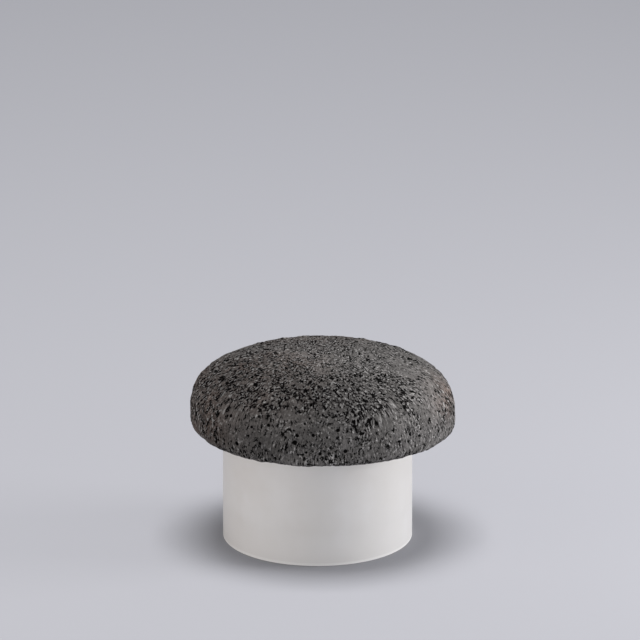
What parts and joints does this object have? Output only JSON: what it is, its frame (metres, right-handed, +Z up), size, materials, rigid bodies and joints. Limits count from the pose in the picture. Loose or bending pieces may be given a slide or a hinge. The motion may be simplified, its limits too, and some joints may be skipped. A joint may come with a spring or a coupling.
{
  "type": "mushroom-shaped stone seat",
  "caption": "Low mushroom-shaped seat: a rounded, dark, pitted volcanic stone, ground flat underneath, resting on a plain off-white cylindrical drum.",
  "frame": {"origin": "centre of the drum's foot, on the floor", "axes": "+Z up, +X along the stone's long side, front towards -Y"},
  "size_m": [0.5959, 0.574, 0.4321],
  "materials": {
    "drum": "satin",
    "stone": "matte"
  },
  "bodies": {
    "root": {"drum": "drum", "stone": "stone"}
  },
  "joints": []
}
